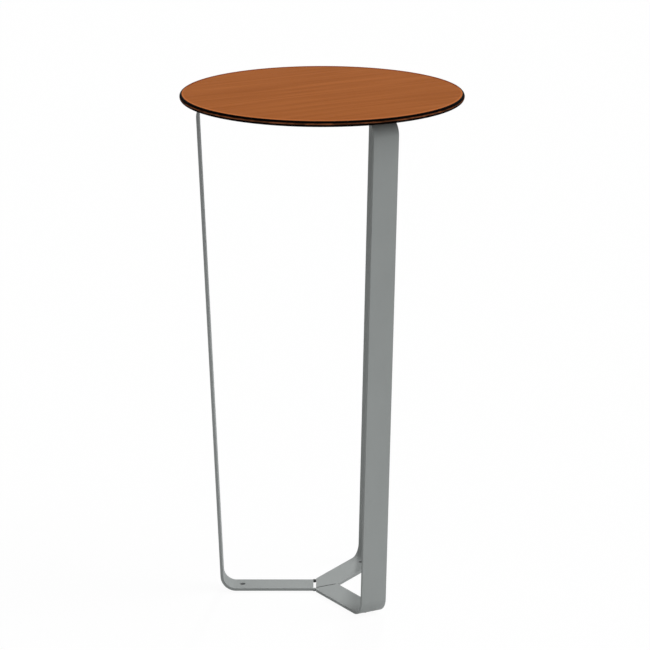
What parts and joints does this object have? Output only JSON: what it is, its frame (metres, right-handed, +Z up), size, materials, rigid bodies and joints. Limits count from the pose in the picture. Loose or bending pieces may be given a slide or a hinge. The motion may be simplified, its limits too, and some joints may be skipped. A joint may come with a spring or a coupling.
{
  "type": "standing meeting table",
  "caption": "Tall round meeting table for standing use: a veneered disc top on leaning legs bent from flat steel bar, whose feet join in a star at the floor.",
  "frame": {"origin": "on the floor, under the middle of the round top", "axes": "+Z up; the left leg stands along -X, the front and rear legs at 60 degrees either side of +X, the front one towards -Y"},
  "size_m": [0.6, 0.6, 1.1],
  "materials": {
    "face_veneer": "orange-brown wood veneer, satin lacquer, fine straight grain",
    "stained_ply": "ply stained near black at the rim, satin lacquer",
    "brown_ply": "brown ply with streaky grain at the rim",
    "backing_veneer": "dark-stained backing veneer, matt",
    "powder_coat": "light grey powder coat, fine texture, satin",
    "glide_plastic": "black moulded plastic, matt",
    "zinc_steel": "bright zinc plated"
  },
  "bodies": {
    "root": {"face_veneer": "face_veneer", "upper_ply": "stained_ply", "middle_ply": "brown_ply", "lower_ply": "stained_ply", "backing_veneer": "backing_veneer", "left_leg": "powder_coat", "left_glide": "glide_plastic", "left_screw_1": "zinc_steel", "left_insert_1": "zinc_steel", "left_screw_2": "zinc_steel", "left_insert_2": "zinc_steel", "left_screw_3": "zinc_steel", "left_insert_3": "zinc_steel", "front_leg": "powder_coat", "front_glide": "glide_plastic", "front_screw_1": "zinc_steel", "front_insert_1": "zinc_steel", "front_screw_2": "zinc_steel", "front_insert_2": "zinc_steel", "front_screw_3": "zinc_steel", "front_insert_3": "zinc_steel", "rear_leg": "powder_coat", "rear_glide": "glide_plastic", "rear_screw_1": "zinc_steel", "rear_insert_1": "zinc_steel", "rear_screw_2": "zinc_steel", "rear_insert_2": "zinc_steel", "rear_screw_3": "zinc_steel", "rear_insert_3": "zinc_steel", "left_rear_weld": "powder_coat", "left_front_weld": "powder_coat", "front_rear_weld": "powder_coat"}
  },
  "joints": []
}
